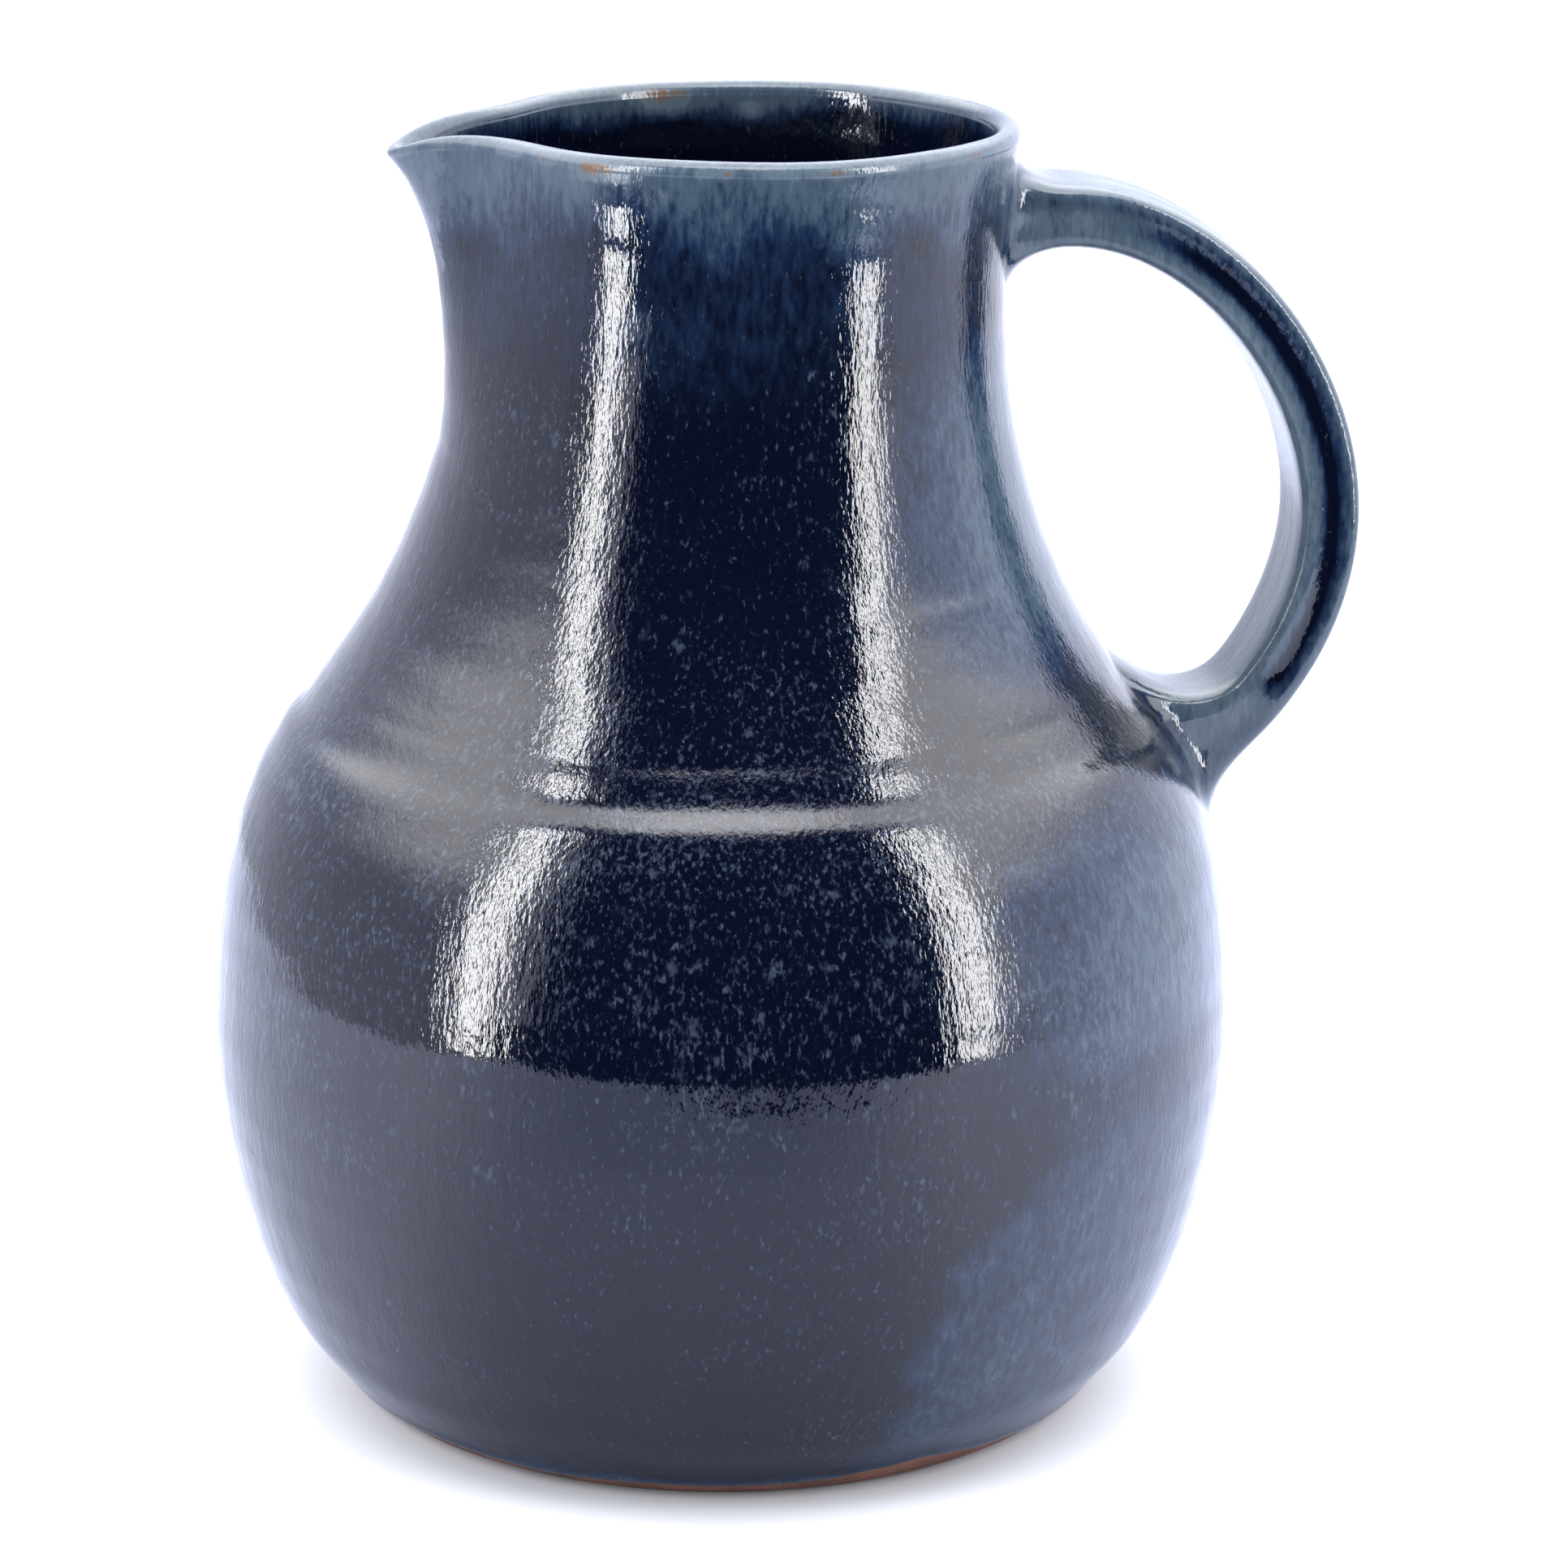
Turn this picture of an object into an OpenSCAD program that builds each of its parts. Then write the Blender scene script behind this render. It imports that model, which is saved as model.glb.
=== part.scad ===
// A wheel-thrown stoneware pitcher with a pulled spout and a pulled strap handle,
// glazed inside and out above a bare foot. Units are millimetres.
// +Z is up and +X points to the handle. The origin is the centre of the foot, on the table.

/* [Thrown body] */
// Height of the clay rim above the table
rim_z = 219.5; // [190:0.5:264]
// Radius of the flat foot
foot_r = 64; // [53:0.5:77]
// Radius of the clay at the belly, its widest ring
belly_r = 88; // [78:0.5:106]
// Height of the belly's widest ring
belly_z = 69; // [57:1:83]
// Radius of the clay at the neck, its narrowest ring
neck_r = 44.8; // [37:0.1:54]
// Drop from the rim to the neck's narrowest ring
neck_drop = 24; // [20:0.5:30]
// Radius of the clay at the rim
rim_r = 45.6; // [38:0.1:55]
// Thickness of the wall at the rim
rim_wall = 3.6; // [3:0.1:4.4]
// Thickness of the wall at the foot
foot_wall = 6.5; // [5.4:0.1:7.8]
// Thickness of the floor
floor_t = 8; // [6.5:0.1:10]
// Radius of the curve between the floor and the wall inside
floor_corner = 22; // [18:0.5:27]
// Height of the bevel around the foot
foot_bevel = 1.2; // [1:0.1:1.5]
// Distance by which the mouth sits off the foot's axis, towards the handle
mouth_shift = 3.5; // [0:0.1:5]

/* [Spout] */
// Distance by which the spout's lip is pulled out from the round mouth
spout_reach = 14.6; // [11:0.1:17.6]
// Height over which the spout flares out of the neck
spout_depth = 54; // [44:0.5:65]
// Drop from the rim to the spout's lip
spout_dip = 4; // [3:0.1:5]
// Angle from the spout's middle to where its lip has half its reach
spout_angle = 12.5; // [10:0.5:15]
// Distance by which the fingers press the rim in on both sides of the spout
spout_pinch = 0.8; // [0:0.1:1.5]

/* [Handle] */
// Width of the strap at its top
strap_top_w = 22.5; // [18:0.1:27]
// Width of the strap at its bottom
strap_bottom_w = 21; // [17:0.1:25.2]
// Thickness of the strap
strap_t = 10; // [8:0.1:12]
// Distance by which the handle reaches past the belly
handle_reach = 20.2; // [16:0.1:24.3]
// Drop from the rim to the middle of the upper root
upper_root_drop = 16.8; // [15:0.1:20.2]
// Rise from the belly's widest ring to the middle of the lower root
lower_root_rise = 43; // [36:0.5:50]
// Angle at which the upper root rises from the neck
upper_root_angle = 8; // [0:0.5:12]
// Angle below the level at which the strap comes in to the lower root
leg_angle = 52; // [44:0.5:60]
// Distance from the wall to where the strap starts, at the upper root
upper_root_len = 10; // [8:0.1:12]
// Distance from the wall to where the strap ends, at the lower root
lower_root_len = 17; // [14:0.1:20.4]
// Half width of the clay thumbed out over the wall at each root
root_half_w = 15.5; // [14:0.1:18.6]
// Half height of the clay thumbed out over the neck
upper_root_half_h = 12.5; // [10:0.1:13.5]
// Half height of the clay thumbed out over the shoulder
lower_root_half_h = 19; // [15:0.1:22.8]

/* [Glaze] */
// Thickness of the glaze
glaze_t = 0.5; // [0.4:0.05:0.6]
// Height of the glaze's lower edge, above the bare foot
glaze_line_z = 4; // [3:0.1:5]

/* [Hidden] */

clay_color = [0.42, 0.24, 0.16];
glaze_color = [0.05, 0.08, 0.16];

// Flats around the body and around the strap
around = 60;
strap_around = 20;

// ---- Curves ----

function unit(v) = v / norm(v);
function clamp(x) = min(max(x, 0), 1);
function backwards(v) = [for (i = [len(v) - 1 : -1 : 0]) v[i]];
function hermite(p0, m0, p1, m1, t) =
    (2 * t ^ 3 - 3 * t ^ 2 + 1) * p0 + (t ^ 3 - 2 * t ^ 2 + t) * m0
    + (3 * t ^ 2 - 2 * t ^ 3) * p1 + (t ^ 3 - t ^ 2) * m1;
function bezier(a, b, c, d, t) =
    (1 - t) ^ 3 * a + 3 * t * (1 - t) ^ 2 * b + 3 * t ^ 2 * (1 - t) * c + t ^ 3 * d;

// A smooth curve through [x, value] points, one cubic to each stretch between two points
function chord(p, i) = (p[i + 1][1] - p[i][1]) / (p[i + 1][0] - p[i][0]);
function slope_at(p, i) =
    i == 0 ? chord(p, 0)
    : i == len(p) - 1 ? chord(p, i - 1)
    : (p[i + 1][1] - p[i - 1][1]) / (p[i + 1][0] - p[i - 1][0]);
function stretch(p, x, i = 0) = i < len(p) - 2 && x > p[i + 1][0] ? stretch(p, x, i + 1) : i;
function curve(p, x) =
    let (i = stretch(p, x), w = p[i + 1][0] - p[i][0], t = (x - p[i][0]) / w)
    hermite(p[i][1], slope_at(p, i) * w, p[i + 1][1], slope_at(p, i + 1) * w, t);

// ---- The thrown wall ----

// The outside of the clay as [height, radius], from the foot to the belly, the neck and the rim
neck_z = rim_z - neck_drop;
swell = belly_r - foot_r;
rise = neck_z - belly_z;
narrowing = belly_r - neck_r;
wall_points = [
    [0, foot_r],
    [0.2 * belly_z, foot_r + 0.49 * swell],
    [0.55 * belly_z, foot_r + 0.86 * swell],
    [belly_z, belly_r],
    [belly_z + 0.275 * rise, belly_r - 0.14 * narrowing],
    [belly_z + 0.56 * rise, belly_r - 0.675 * narrowing],
    [belly_z + 0.78 * rise, belly_r - 0.915 * narrowing],
    [neck_z, neck_r],
    [rim_z, rim_r]
];
function outer_r(z) = curve(wall_points, z);
function wall_slope(z) = outer_r(z + 0.5) - outer_r(z - 0.5);
function wall_t(z) = foot_wall + (rim_wall - foot_wall) * z / rim_z;
// The floor runs into the wall in an elliptical corner
function corner_in(z) = floor_corner * (1 - sqrt(1 - (1 - clamp((z - floor_t) / floor_corner)) ^ 2));
function inner_r(z) = outer_r(z) - wall_t(z) * sqrt(1 + wall_slope(z) ^ 2) - corner_in(z);

// The section, as [radius, height]: up the outside, over the round lip and down the inside
lip_r = rim_wall / 2;
lip_z = rim_z - lip_r;
flare_z = rim_z - spout_depth;
function level_steps(low, high, steps) = [for (i = [0 : steps - 1]) low + (high - low) * i / steps];
outside_z = concat(
    [for (i = [0 : 13]) glaze_line_z + (flare_z - glaze_line_z) * (i / 14) ^ 1.25],
    level_steps(flare_z, lip_z, 7),
    [lip_z]
);
inside_z = concat(
    backwards(level_steps(flare_z, lip_z, 5)),
    [for (i = [9 : -1 : 0]) floor_t + (flare_z - floor_t) * (i / 10) ^ 1.5]
);
foot_part = [[foot_r - foot_bevel, 0], [outer_r(foot_bevel), foot_bevel]];
outside_part = [for (z = outside_z) [outer_r(z), z]];
lip_part = [for (a = [45, 90, 135]) [rim_r - lip_r + lip_r * cos(a), lip_z + lip_r * sin(a)]];
inside_part = [for (z = inside_z) [inner_r(z), z]];
floor_part = [[0.35 * inner_r(floor_t), floor_t]];

// The section of a glaze: down the clay's own line, then up a line one glaze thickness out.
// The two glazes meet at the top of the lip.
function normal_at(s, i) =
    let (along = unit(s[min(i + 1, len(s) - 1)] - s[max(i - 1, 0)]))
    [along[1], -along[0]];
function moved_out(s, d) = [for (i = [0 : len(s) - 1]) s[i] + d * normal_at(s, i)];
whole_line = concat(outside_part, lip_part, inside_part, floor_part);
glazed_line = moved_out(whole_line, glaze_t);
lip_top_index = len(outside_part) + 1;
last_index = len(whole_line) - 1;
function glaze_section(first, last) = concat(
    [for (i = [last : -1 : first]) whole_line[i]],
    [for (i = [first : last]) glazed_line[i]]
);

// The mouth's offset and the spout bend the round wall above the shoulder
function mouth_x(z) = mouth_shift * clamp(2 * z / rim_z - 1) ^ 1.9;
function lobe(angle, half_angle) = 2 ^ -((angle / half_angle) ^ 2);
function bent(r, angle, z) =
    let (
        s = max(z - flare_z, 0) / spout_depth,
        off = abs(angle - 180),
        half = spout_angle * (1.6 - 0.6 * min(s, 1)),
        pull = spout_reach * (0.76 * s ^ 1.15 + 0.24 * s ^ 6) * lobe(off, half),
        pinched_r = r - spout_pinch * s ^ 3 * lobe(off - 2.1 * half, half)
    )
    [
        pinched_r * cos(angle) + mouth_x(z) - pull,
        pinched_r * sin(angle),
        z - spout_dip * s ^ 4 * lobe(off, 0.62 * half)
    ];

// ---- Rings of points and the skins between them ----

// Triangles between neighbouring rings of n points; a closed tube joins its last ring to its first
function skin(n, rings, closed) = [
    for (j = [0 : rings - (closed ? 1 : 2)], i = [0 : n - 1])
        let (k = (j + 1) % rings, next = (i + 1) % n)
        each [[j * n + i, k * n + next, j * n + next], [j * n + i, k * n + i, k * n + next]]
];
function ring_face(n, ring) = [for (i = [0 : n - 1]) ring * n + i];
module skinned(rings, closed = false) {
    n = len(rings[0]);
    ends = closed ? [] : [ring_face(n, 0), backwards(ring_face(n, len(rings) - 1))];
    polyhedron([for (r = rings) each r], concat(skin(n, len(rings), closed), ends));
}

// A section turned about the axis and bent as the wall is
module turned(section, closed = false) {
    skinned([for (p = section) [for (i = [0 : around - 1]) bent(p[0], i * 360 / around, p[1])]], closed);
}

// ---- The handle ----

// A point of the wall on the handle's side, off millimetres out from the clay.
// The wall is straight between its rings and flat between its corners, so the roots lie close on it.
ring_list = [for (p = outside_part) [p[1], p[0]]];
shift_list = [for (p = outside_part) [p[1], mouth_x(p[1])]];
function wall_corners(r) =
    [for (i = [-10 : 10]) [r * sin(i * 360 / around), r * cos(i * 360 / around)]];
function on_wall(y, z, off) =
    let (r = lookup(z, ring_list) + off * sqrt(1 + wall_slope(z) ^ 2))
    [lookup(z, shift_list) + lookup(y, wall_corners(r)), y, z];

// Each root's middle on the wall, and the ends of the strap, all in the plane y = 0
upper_root_z = rim_z - upper_root_drop;
lower_root_z = belly_z + lower_root_rise;
function out_of_wall(z, angle, length) = on_wall(0, z, 0) + length * [cos(angle), 0, sin(angle)];
lower_root_angle = atan(-wall_slope(lower_root_z));
strap_top = out_of_wall(upper_root_z, upper_root_angle, upper_root_len);
strap_end = out_of_wall(lower_root_z, lower_root_angle, lower_root_len);
leg_way = [-cos(leg_angle), 0, -sin(leg_angle)];

// The middle of the strap: out from the top to the bulge, then down and in to the lower root
bulge = [
    belly_r + handle_reach - strap_t / 2,
    0,
    strap_end[2] + 0.37 * (strap_top[2] - strap_end[2])
];
upper_drop = strap_top[2] - bulge[2];
lower_drop = bulge[2] - strap_end[2];
function strap_middle(t) =
    t <= 0.5
    ? bezier(
        strap_top, strap_top + [0.5 * (bulge[0] - strap_top[0]), 0, 0],
        bulge + [0, 0, 0.5 * upper_drop], bulge, 2 * t
    )
    : bezier(
        bulge, bulge - [0, 0, 0.42 * lower_drop],
        strap_end - 0.28 * lower_drop * leg_way, strap_end, 2 * t - 1
    );
strap_steps = 18;
function way_at(t) = unit(strap_middle(min(t + 0.01, 1)) - strap_middle(max(t - 0.01, 0)));

// One ring of the strap: an oblong with round corners, grown by d all round
squareness = 6;
function squared(a) =
    let (reach = (abs(cos(a)) ^ squareness + abs(sin(a)) ^ squareness) ^ (-1 / squareness))
    [reach * cos(a), reach * sin(a)];
function strap_ring(t, d) =
    let (
        way = way_at(t),
        out = [-way[2], 0, way[0]],
        half_w = (strap_top_w + (strap_bottom_w - strap_top_w) * t) / 2 + d,
        half_t = strap_t / 2 + d
    )
    [
        for (i = [0 : strap_around - 1])
            let (p = squared(i * 360 / strap_around))
            strap_middle(t) + half_t * p[1] * out + [0, half_w * p[0], 0]
    ];
function strap_rings(d) = [for (j = [0 : strap_steps]) strap_ring(j / strap_steps, d)];

// One ring of a root where it lies on the wall, shrunk by scale; upright is -1 at the lower root
function wall_ring(z, half_h, upright, off, scale = 1) = [
    for (i = [0 : strap_around - 1])
        let (a = i * 360 / strap_around)
        on_wall(scale * root_half_w * cos(a), z + upright * scale * half_h * sin(a), off)
];
// The rings of a root from the strap to the wall, where the clay runs out flat
root_steps = 6;
root_fullness = 1.2;
function root_rings(from, way, z, half_h, upright, off) =
    let (to = wall_ring(z, half_h, upright, off), past = wall_ring(z, half_h, upright, off, 1.02))
    [
        for (j = [0 : root_steps])
            [
                for (i = [0 : strap_around - 1])
                    let (reach = root_fullness * norm(to[i] - from[i]))
                    hermite(from[i], reach * way, to[i], reach * unit(past[i] - to[i]), j / root_steps)
            ]
    ];
function upper_rings(d) =
    root_rings(strap_ring(0, d), -way_at(0), upper_root_z, upper_root_half_h, 1, d);
function lower_rings(d) =
    root_rings(strap_ring(1, d), way_at(1), lower_root_z, lower_root_half_h, -1, d);
// The face of a root that is pressed on the wall
function wall_face(z, half_h, upright) =
    [for (scale = [0.7, 0.4, 0.1]) wall_ring(z, half_h, upright, 0, scale)];

// The window that a root takes up in the outside glaze
module root_window(z, half_h) {
    outline = [for (p = wall_ring(z, half_h, 1, 0)) [p[1], p[2]]];
    rotate([90, 0, 90]) linear_extrude(2 * belly_r) polygon(outline);
}

// ---- The pieces ----

module thrown_body() {
    color(clay_color) turned(concat(foot_part, whole_line));
}

module handle_strap() {
    color(clay_color) skinned(strap_rings(0));
}

module upper_handle_root() {
    color(clay_color)
        skinned(backwards(concat(upper_rings(0), wall_face(upper_root_z, upper_root_half_h, 1))));
}

module lower_handle_root() {
    color(clay_color)
        skinned(concat(lower_rings(0), wall_face(lower_root_z, lower_root_half_h, -1)));
}

module outside_glaze() {
    color(glaze_color) difference() {
        turned(glaze_section(0, lip_top_index), closed = true);
        root_window(upper_root_z, upper_root_half_h);
        root_window(lower_root_z, lower_root_half_h);
    }
}

module inside_glaze() {
    color(glaze_color) turned(glaze_section(lip_top_index, last_index));
}

function handle_line(d) = concat(
    backwards(upper_rings(d)),
    [for (j = [1 : strap_steps - 1]) strap_ring(j / strap_steps, d)],
    lower_rings(d)
);
module handle_glaze() {
    color(glaze_color) skinned(concat(handle_line(glaze_t), backwards(handle_line(0))), closed = true);
}

thrown_body();
handle_strap();
upper_handle_root();
lower_handle_root();
outside_glaze();
inside_glaze();
handle_glaze();
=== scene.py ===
"""A wheel-thrown stoneware pitcher with a pulled spout and a pulled strap handle, glazed blue.

The sizes are in metres, in the frame of the packed model: +Z is up, +X points to the handle, and
the origin is the centre of the foot, on the table.
"""
import math

import bpy
import numpy as np
from bpy.props import FloatProperty, FloatVectorProperty, PointerProperty
from mathutils import Matrix, Vector


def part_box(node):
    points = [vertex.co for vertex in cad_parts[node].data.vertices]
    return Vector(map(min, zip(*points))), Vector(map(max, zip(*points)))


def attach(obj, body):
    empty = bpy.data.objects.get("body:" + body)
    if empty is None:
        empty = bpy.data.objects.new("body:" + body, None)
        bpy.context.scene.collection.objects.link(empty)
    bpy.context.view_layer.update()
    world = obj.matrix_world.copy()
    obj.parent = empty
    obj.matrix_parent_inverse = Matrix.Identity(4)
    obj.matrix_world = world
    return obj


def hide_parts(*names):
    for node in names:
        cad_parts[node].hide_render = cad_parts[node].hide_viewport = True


bl_info = {
    "name": "Stoneware Pitcher",
    "version": (1, 0, 0),
    "blender": (4, 5, 0),
    "location": "3D View > Sidebar > Pitcher",
    "description": "Throws, handles and glazes a stoneware pitcher around its packed model",
    "category": "Add Mesh",
}

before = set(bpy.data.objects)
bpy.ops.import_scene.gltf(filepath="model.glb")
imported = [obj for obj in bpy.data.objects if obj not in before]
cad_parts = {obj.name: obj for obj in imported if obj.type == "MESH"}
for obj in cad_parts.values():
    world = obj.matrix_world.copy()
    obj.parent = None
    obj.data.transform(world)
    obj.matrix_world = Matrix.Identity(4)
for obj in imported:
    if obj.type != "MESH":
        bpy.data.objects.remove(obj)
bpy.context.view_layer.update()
MM = 0.001
TURN = 2 * math.pi
RIM_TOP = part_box("outside_glaze")[1].z
# The rings of points end this near the axis.
HUB = 1.5 * MM
# Steps away from the top of the lip, which are finer than the wall's, and how far they run.
LIP_STEPS = np.concatenate([[0.0, 0.03], np.linspace(0.2, 4.6, 23)]) * MM
LIP_RUN = 5 * MM


# ---- Sizes and colours that a user may change ----


def length(name, millimetres):
    """A distance, stored in metres."""
    return FloatProperty(name=name, default=millimetres * MM, min=0.0, unit="LENGTH", precision=4)


def bearing(name, degrees):
    """An angle, stored in radians."""
    return FloatProperty(name=name, default=math.radians(degrees), unit="ROTATION", subtype="ANGLE")


def number(name, default):
    return FloatProperty(name=name, default=default, min=0.0)


def colour(name, default):
    """A linear colour."""
    return FloatVectorProperty(name=name, default=default, min=0.0, max=1.0, size=3, subtype="COLOR")


class PitcherWall(bpy.types.PropertyGroup):
    """The thrown wall."""

    rim_z: length("Height of the rim", RIM_TOP / MM - 0.5)
    foot_r: length("Radius of the flat foot", 64)
    belly_r: length("Radius at the widest ring", 88)
    belly_z: length("Height of the widest ring", 69)
    neck_r: length("Radius at the narrowest ring", 44.8)
    neck_drop: length("Drop from the rim to the narrowest ring", 24)
    rim_r: length("Radius at the rim", 45.6)
    rim_wall: length("Thickness of the wall at the rim", 3.6)
    foot_wall: length("Thickness of the wall at the foot", 6.5)
    floor_t: length("Thickness of the floor", 8)
    floor_corner: length("Radius of the curve between floor and wall", 22)
    foot_bevel: length("Height of the bevel around the foot", 1.2)
    mouth_shift: length("Offset of the mouth towards the handle", 3.5)
    ledge_z: length("Height of the small ledge on the shoulder", 118.6)
    ledge_step: length("How far the ledge stands out", 0.62)
    ring_pitch: length("Rise of the throwing rings in one turn", 8.5)
    ring_height: length("Height of the throwing rings outside", 0.03)
    inner_ring_height: length("Height of the throwing rings inside", 0.35)
    dent_depth: length("Depth of the wall's unevenness", 0.45)
    rim_waver: length("Drop of the lowest places of the rim", 0.35)


class PitcherSpout(bpy.types.PropertyGroup):
    """The pulled spout."""

    reach: length("How far the lip is pulled out of the round mouth", 14.6)
    depth: length("Height over which the spout flares out of the neck", 54)
    dip: length("Drop from the rim to the spout's lip", 4)
    half_angle: bearing("Angle from the middle to half the reach", 12.5)
    pinch: length("How far fingers press the rim in beside the spout", 0.8)


class PitcherHandle(bpy.types.PropertyGroup):
    """The pulled strap handle and its two roots."""

    top_w: length("Width of the strap at its top", 22.5)
    bottom_w: length("Width of the strap at its bottom", 21)
    strap_t: length("Thickness of the strap", 10)
    reach: length("How far the handle reaches past the belly", 20.2)
    upper_drop: length("Drop from the rim to the upper root", 16.8)
    lower_rise: length("Rise from the belly's widest ring to the lower root", 43)
    upper_angle: bearing("Rise of the upper root above the level", 8)
    leg_angle: bearing("Fall of the strap at the lower root below the level", 52)
    upper_len: length("From the wall to the start of the strap", 10)
    lower_len: length("From the wall to the end of the strap", 17)
    root_half_w: length("Half width of the roots on the wall", 14.5)
    upper_half_h: length("Half height of the upper root", 12.5)
    lower_half_h: length("Half height of the lower root", 19)
    side_hollow: length("Depth of the hollow down each side of the strap", 0.5)
    back_ridges: length("Height of the finger ridges on the strap's back", 0.3)


class PitcherGlaze(bpy.types.PropertyGroup):
    """The glaze's thickness, its edge and its colours, and the bare clay's colours."""

    thickness: length("Thickness of the glaze", 0.36)
    line_z: length("Height of the glaze's lower edge", 2.4)
    bead: length("Thickness that pools along the lower edge", 0.25)
    thick: colour("Colour where the glaze is thickest", (0.0011, 0.0019, 0.0066))
    middle: colour("Colour where the glaze is middling thick", (0.006, 0.0135, 0.034))
    thin: colour("Colour where the glaze is thin", (0.031, 0.049, 0.071))
    pale: colour("Colour where the glaze breaks over an edge", (0.056, 0.08, 0.104))
    edge: colour("Colour where the glaze burns off an edge", (0.085, 0.052, 0.034))
    speck: colour("Colour of the specks that float in the glaze", (0.042, 0.057, 0.088))
    clay: colour("Colour of the fired clay", (0.16, 0.062, 0.04))
    dark_clay: colour("Colour of the clay's darker grains", (0.07, 0.028, 0.02))


class PitcherStudio(bpy.types.PropertyGroup):
    """The camera and the light."""

    eye: FloatVectorProperty(
        name="Where the camera stands", default=(-0.09607, -0.8732, 0.358), unit="LENGTH",
    )
    pan: bearing("Turn of the view from +Y towards +X", 6.97)
    tilt: bearing("Fall of the view below the level", 16.09)
    roll: bearing("Turn of the camera about its view", 0.45)
    lens: number("Focal length in millimetres", 121.7)
    strip_w: length("Width of each upright light", 150)
    strip_h: length("Height of each upright light", 1270)
    strip_away: length("Distance of the upright lights", 1000)
    left_bearing: bearing("Left light, from the camera's side", -53.5)
    right_bearing: bearing("Right light, from the camera's side", 55)
    left_glow: number("Brightness of the left light", 22.0)
    right_glow: number("Brightness of the right light", 19.0)
    table_half: length("Half width of the reflected table", 470)
    floor_half: length("Half width of the floor", 5000)
    floor_colour: colour("Colour of the floor", (0.62, 0.63, 0.66))


# ---- Curves ----


def smooth(x, low, high):
    """0 up to low, 1 from high on, and a smooth rise between them."""
    t = np.clip((x - low) / (high - low), 0, 1)
    return t * t * (3 - 2 * t)


def bump_at(x, middle, half_width):
    """A soft hump that is 1 at its middle."""
    return np.exp(-(((x - middle) / half_width) ** 2))


def angle_between(a, b):
    """The turn from b to a, between minus half a turn and half a turn."""
    return (a - b + math.pi) % TURN - math.pi


def hermite(p0, m0, p1, m1, t):
    return (
        (2 * t**3 - 3 * t**2 + 1) * p0 + (t**3 - 2 * t**2 + t) * m0
        + (3 * t**2 - 2 * t**3) * p1 + (t**3 - t**2) * m1
    )


def bezier(a, b, c, d, t):
    return (1 - t) ** 3 * a + 3 * t * (1 - t) ** 2 * b + 3 * t**2 * (1 - t) * c + t**3 * d


def curve(points, x):
    """A smooth curve through (x, value) points, one cubic to each stretch."""
    xs, ys = np.array(points).T
    slopes = np.gradient(ys, xs)
    slopes[1:-1] = (ys[2:] - ys[:-2]) / (xs[2:] - xs[:-2])
    i = np.clip(np.searchsorted(xs, x) - 1, 0, len(xs) - 2)
    w = xs[i + 1] - xs[i]
    return hermite(ys[i], slopes[i] * w, ys[i + 1], slopes[i + 1] * w, (x - xs[i]) / w)


def unit(v):
    return v / np.linalg.norm(v, axis=-1, keepdims=True)


def ripple(angle, z, seed, waves=10, most_turns=6, finest=26 * MM):
    """Smooth unevenness between about -1 and 1, which closes up round the pot."""
    draw = np.random.default_rng(seed)
    total = 0
    for _ in range(waves):
        turns = draw.integers(0, most_turns + 1)
        along = draw.uniform(-1, 1) * TURN / finest
        total = total + np.sin(turns * angle + along * z + draw.uniform(0, TURN))
    return np.clip(total / (1.3 * math.sqrt(waves)), -1, 1)


def circle(around):
    """Evenly spaced angles all the way round."""
    return np.arange(around) * TURN / around


def spread(first, last, count):
    """About count whole numbers, evenly spread, from the last down to the first."""
    return np.unique(np.round(np.linspace(first, last, count)).astype(int))[::-1]


# ---- The pitcher's surfaces ----


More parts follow.
